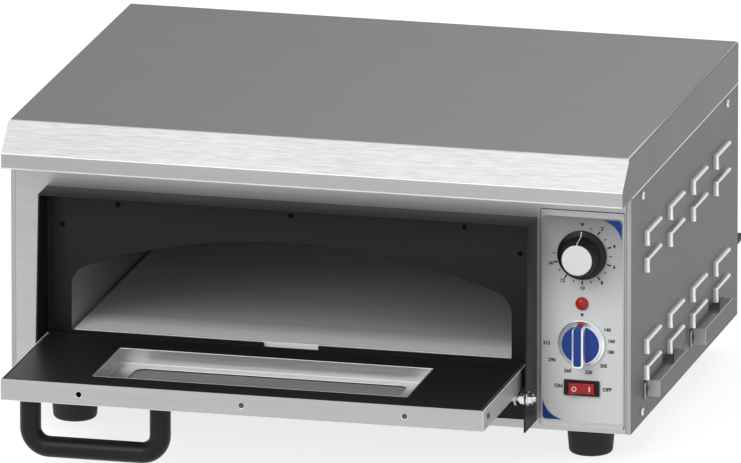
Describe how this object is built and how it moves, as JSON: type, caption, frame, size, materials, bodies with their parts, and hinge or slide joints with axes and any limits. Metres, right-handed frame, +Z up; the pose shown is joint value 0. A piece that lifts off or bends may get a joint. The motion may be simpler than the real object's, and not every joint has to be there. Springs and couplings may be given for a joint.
{
  "type": "countertop pizza oven",
  "caption": "Single-deck electric countertop pizza oven with a drop-down window door, a timer, a thermostat and a rocker switch.",
  "frame": {"origin": "middle of the footprint, with the door open, on the table under the feet", "axes": "+X to the right as the user faces the door, +Y from the door to the back, +Z up"},
  "size_m": [0.584, 0.6158, 0.282],
  "materials": {
    "cover_steel": "satin, brushed across the width",
    "side_steel": "satin, brushed along the side",
    "front_steel": "satin, brushed across the width",
    "inner_steel": "plain sheet, heat stained",
    "deck_steel": "matt plate",
    "black_sheet": "fine matt heat-proof coating",
    "bright_steel": "bright zinc or nickel",
    "dark_screw": "blackened",
    "heater_sheath": "oxidised sheath",
    "mineral_wool": "pressed fibre",
    "label_film": "silver film, satin",
    "electric_case": "moulded",
    "copper_tube": "copper",
    "black_plastic": "satin moulded",
    "white_plastic": "satin moulded",
    "blue_plastic": "gloss moulded",
    "red_plastic": "gloss moulded",
    "knob_chrome": "polished",
    "foot_rubber": "moulded rubber",
    "seal_rubber": "silicone cord",
    "window_pane": "clear tempered"
  },
  "bodies": {
    "oven": {"top_cover": "cover_steel", "left_side_panel": "side_steel", "right_side_panel": "side_steel", "rear_panel": "side_steel", "base_panel": "side_steel", "front_panel": "front_steel", "side_rails": "inner_steel", "panel_screws": "bright_steel", "feet": "foot_rubber", "foot_screws": "bright_steel", "side_brackets": "side_steel", "rear_spacers": "black_plastic", "door_surround": "black_sheet", "surround_rivets": "dark_screw", "chamber_liner": "inner_steel", "chamber_supports": "inner_steel", "deck_rails": "inner_steel", "upper_heater": "heater_sheath", "lower_heater": "heater_sheath", "heater_clips": "inner_steel", "insulation": "mineral_wool", "bay_shield": "inner_steel", "control_plate": "front_steel", "control_label": "label_film", "timer_body": "electric_case", "thermostat_body": "electric_case", "thermostat_sensor": "copper_tube", "pilot_lens": "red_plastic", "pilot_body": "electric_case", "switch_body": "black_plastic", "terminal_block": "electric_case", "cord_gland": "black_plastic", "hinge_bolts": "bright_steel", "hinge_nuts": "bright_steel", "hinge_washers": "bright_steel"},
    "door": {"door_pan": "front_steel", "door_inner_panel": "black_sheet", "door_screws": "dark_screw", "window_frame": "front_steel", "window_glass": "window_pane", "window_seal": "seal_rubber", "door_handle": "black_plastic", "handle_screws": "bright_steel", "hinge_ears": "bright_steel", "hinge_rivets": "bright_steel"},
    "timer_dial": {"timer_knob": "black_plastic", "timer_cap": "white_plastic", "timer_shaft": "bright_steel"},
    "thermostat_dial": {"thermostat_skirt": "knob_chrome", "thermostat_grip": "blue_plastic", "thermostat_shaft": "bright_steel"},
    "rocker": {"switch_rocker": "red_plastic"},
    "deck": {"deck_plate": "deck_steel"}
  },
  "joints": [
    {"name": "door_hinge", "type": "hinge", "parent": "oven", "child": "door", "pos_m": [-0.026, -0.1661, 0.0672], "axis": [-1, 0, 0], "range_deg": [0, 92.5]},
    {"name": "timer_turn", "type": "hinge", "parent": "oven", "child": "timer_dial", "pos_m": [0.2365, -0.1421, 0.1908], "axis": [0, 1, 0], "range_deg": [0, 270]},
    {"name": "thermostat_turn", "type": "hinge", "parent": "oven", "child": "thermostat_dial", "pos_m": [0.2365, -0.1361, 0.1109], "axis": [0, 1, 0], "range_deg": [0, 270]},
    {"name": "rocker_tilt", "type": "hinge", "parent": "oven", "child": "rocker", "pos_m": [0.2365, -0.1326, 0.0704], "axis": [0, 0, -1], "range_deg": [0, 16]},
    {"name": "deck_lift", "type": "slide", "parent": "oven", "child": "deck", "axis": [0, 0, 1], "range_m": [0, 0.02]}
  ]
}
